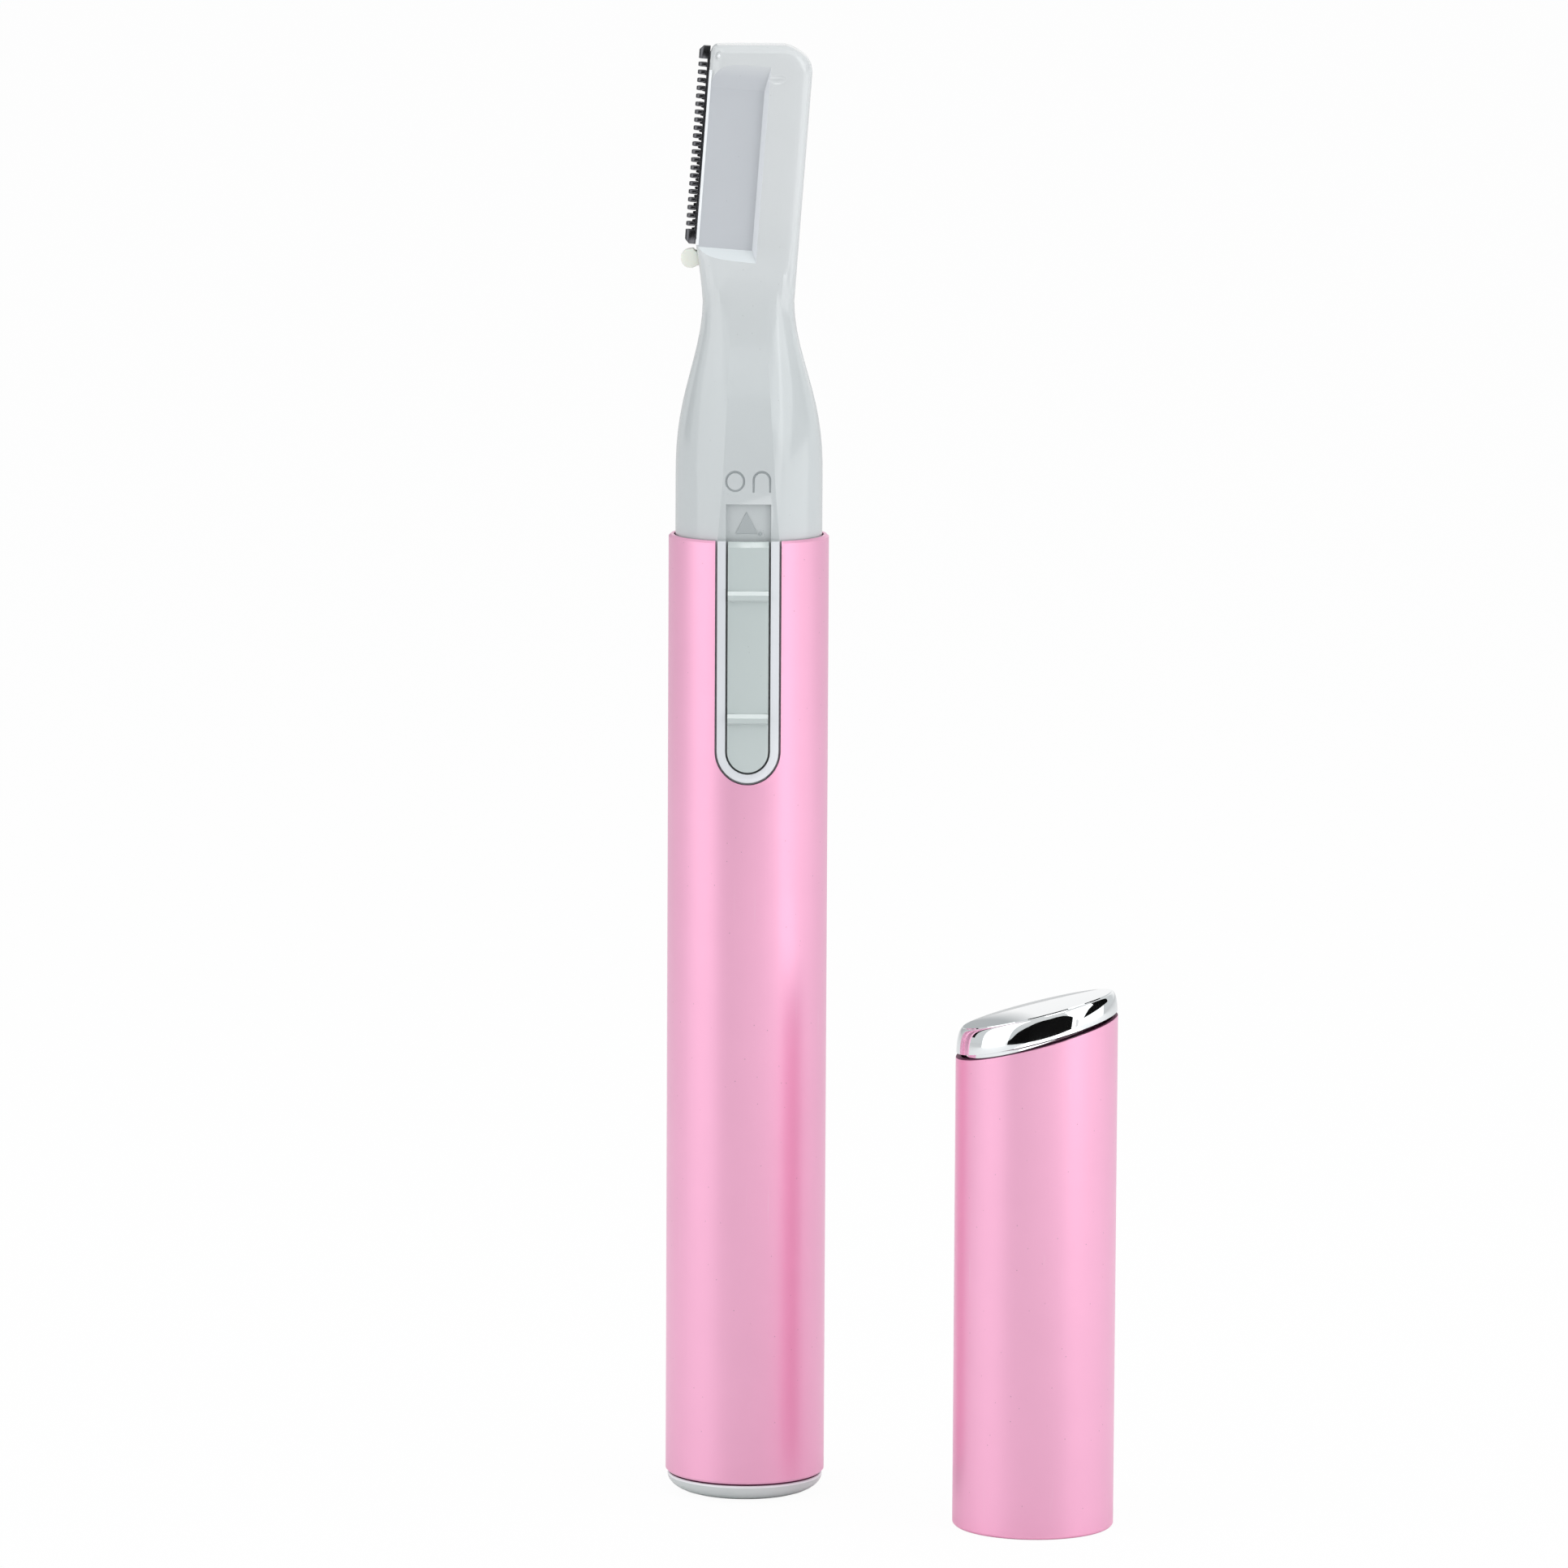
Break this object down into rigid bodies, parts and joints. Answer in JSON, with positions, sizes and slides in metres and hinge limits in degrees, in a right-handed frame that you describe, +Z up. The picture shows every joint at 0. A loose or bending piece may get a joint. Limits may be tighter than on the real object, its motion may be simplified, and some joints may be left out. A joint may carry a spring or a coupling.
{
  "type": "facial hair trimmer",
  "caption": "Slim battery trimmer with a tube barrel, a slide switch in a notch, a leaning head with a toothed comb on one edge, and a separate slant-topped cap.",
  "frame": {"origin": "centre of the barrel plug's flat foot, on the surface that the trimmer stands on", "axes": "+Z up along the barrel, -Y towards the switch, -X towards the comb"},
  "size_m": [0.0419, 0.0299, 0.1368],
  "materials": {
    "pink_aluminium": "satin anodised",
    "grey_plastic": "satin moulded",
    "button_plastic": "satin moulded",
    "white_plastic": "moulded",
    "dark_plastic": "moulded",
    "chrome": "chrome plated",
    "blade_steel": "dark polished",
    "bright_steel": "bright",
    "can_steel": "plated",
    "magnet_grey": "sintered",
    "copper": "bright",
    "brass": "turned",
    "cell_jacket": "printed foil"
  },
  "bodies": {
    "barrel": {"barrel_tube": "pink_aluminium", "barrel_end_plug": "grey_plastic"},
    "insert": {"front_shell": "grey_plastic", "rear_shell": "grey_plastic", "comb_blade": "blade_steel", "lever_pivot_pin": "bright_steel", "blade_spring": "bright_steel", "motor_can": "can_steel", "motor_end_bell": "dark_plastic", "motor_bearing_bush": "brass", "motor_magnet_left": "magnet_grey", "motor_magnet_right": "magnet_grey", "motor_brush_left": "copper", "motor_brush_right": "copper", "battery_cell": "cell_jacket", "negative_spring": "bright_steel", "negative_strip": "bright_steel", "positive_contact": "bright_steel", "motor_feed_strip": "bright_steel"},
    "switch": {"switch_slider": "button_plastic", "switch_contact_bridge": "copper"},
    "rotor": {"motor_shaft": "bright_steel", "rotor_core": "can_steel", "rotor_winding_1": "copper", "rotor_winding_2": "copper", "rotor_winding_3": "copper", "commutator": "copper", "eccentric_cam": "white_plastic"},
    "lever": {"drive_lever": "white_plastic"},
    "cutter": {"cutter_blade": "blade_steel", "cutter_carrier": "white_plastic"},
    "cap": {"cap_tube": "pink_aluminium", "cap_top_insert": "chrome"}
  },
  "joints": [
    {"name": "insert_slide", "type": "slide", "parent": "barrel", "child": "insert", "axis": [0, 0, 1], "range_m": [0, 0.085]},
    {"name": "switch_slide", "type": "slide", "parent": "insert", "child": "switch", "axis": [0, 0, 1], "range_m": [0, 0.0033]},
    {"name": "rotor_spin", "type": "hinge", "parent": "insert", "child": "rotor", "pos_m": [0, 0.0005, 0.092], "axis": [0, 0, 1], "continuous": true},
    {"name": "lever_swing", "type": "hinge", "parent": "insert", "child": "lever", "pos_m": [0.0012, 0, 0.11343], "axis": [0, 1, 0], "range_deg": [-3.4, 3.4]},
    {"name": "cutter_slide", "type": "slide", "parent": "insert", "child": "cutter", "axis": [0.0732, 0, 0.9973], "range_m": [-0.000225, 0.000225]},
    {"name": "cap_lift", "type": "slide", "parent": "barrel", "child": "cap", "axis": [0, 0, 1], "range_m": [0, 0.05]}
  ],
  "couplings": [
    {"joint": "lever_swing", "follows": "cutter_slide", "rad_per_m": 263.3}
  ]
}
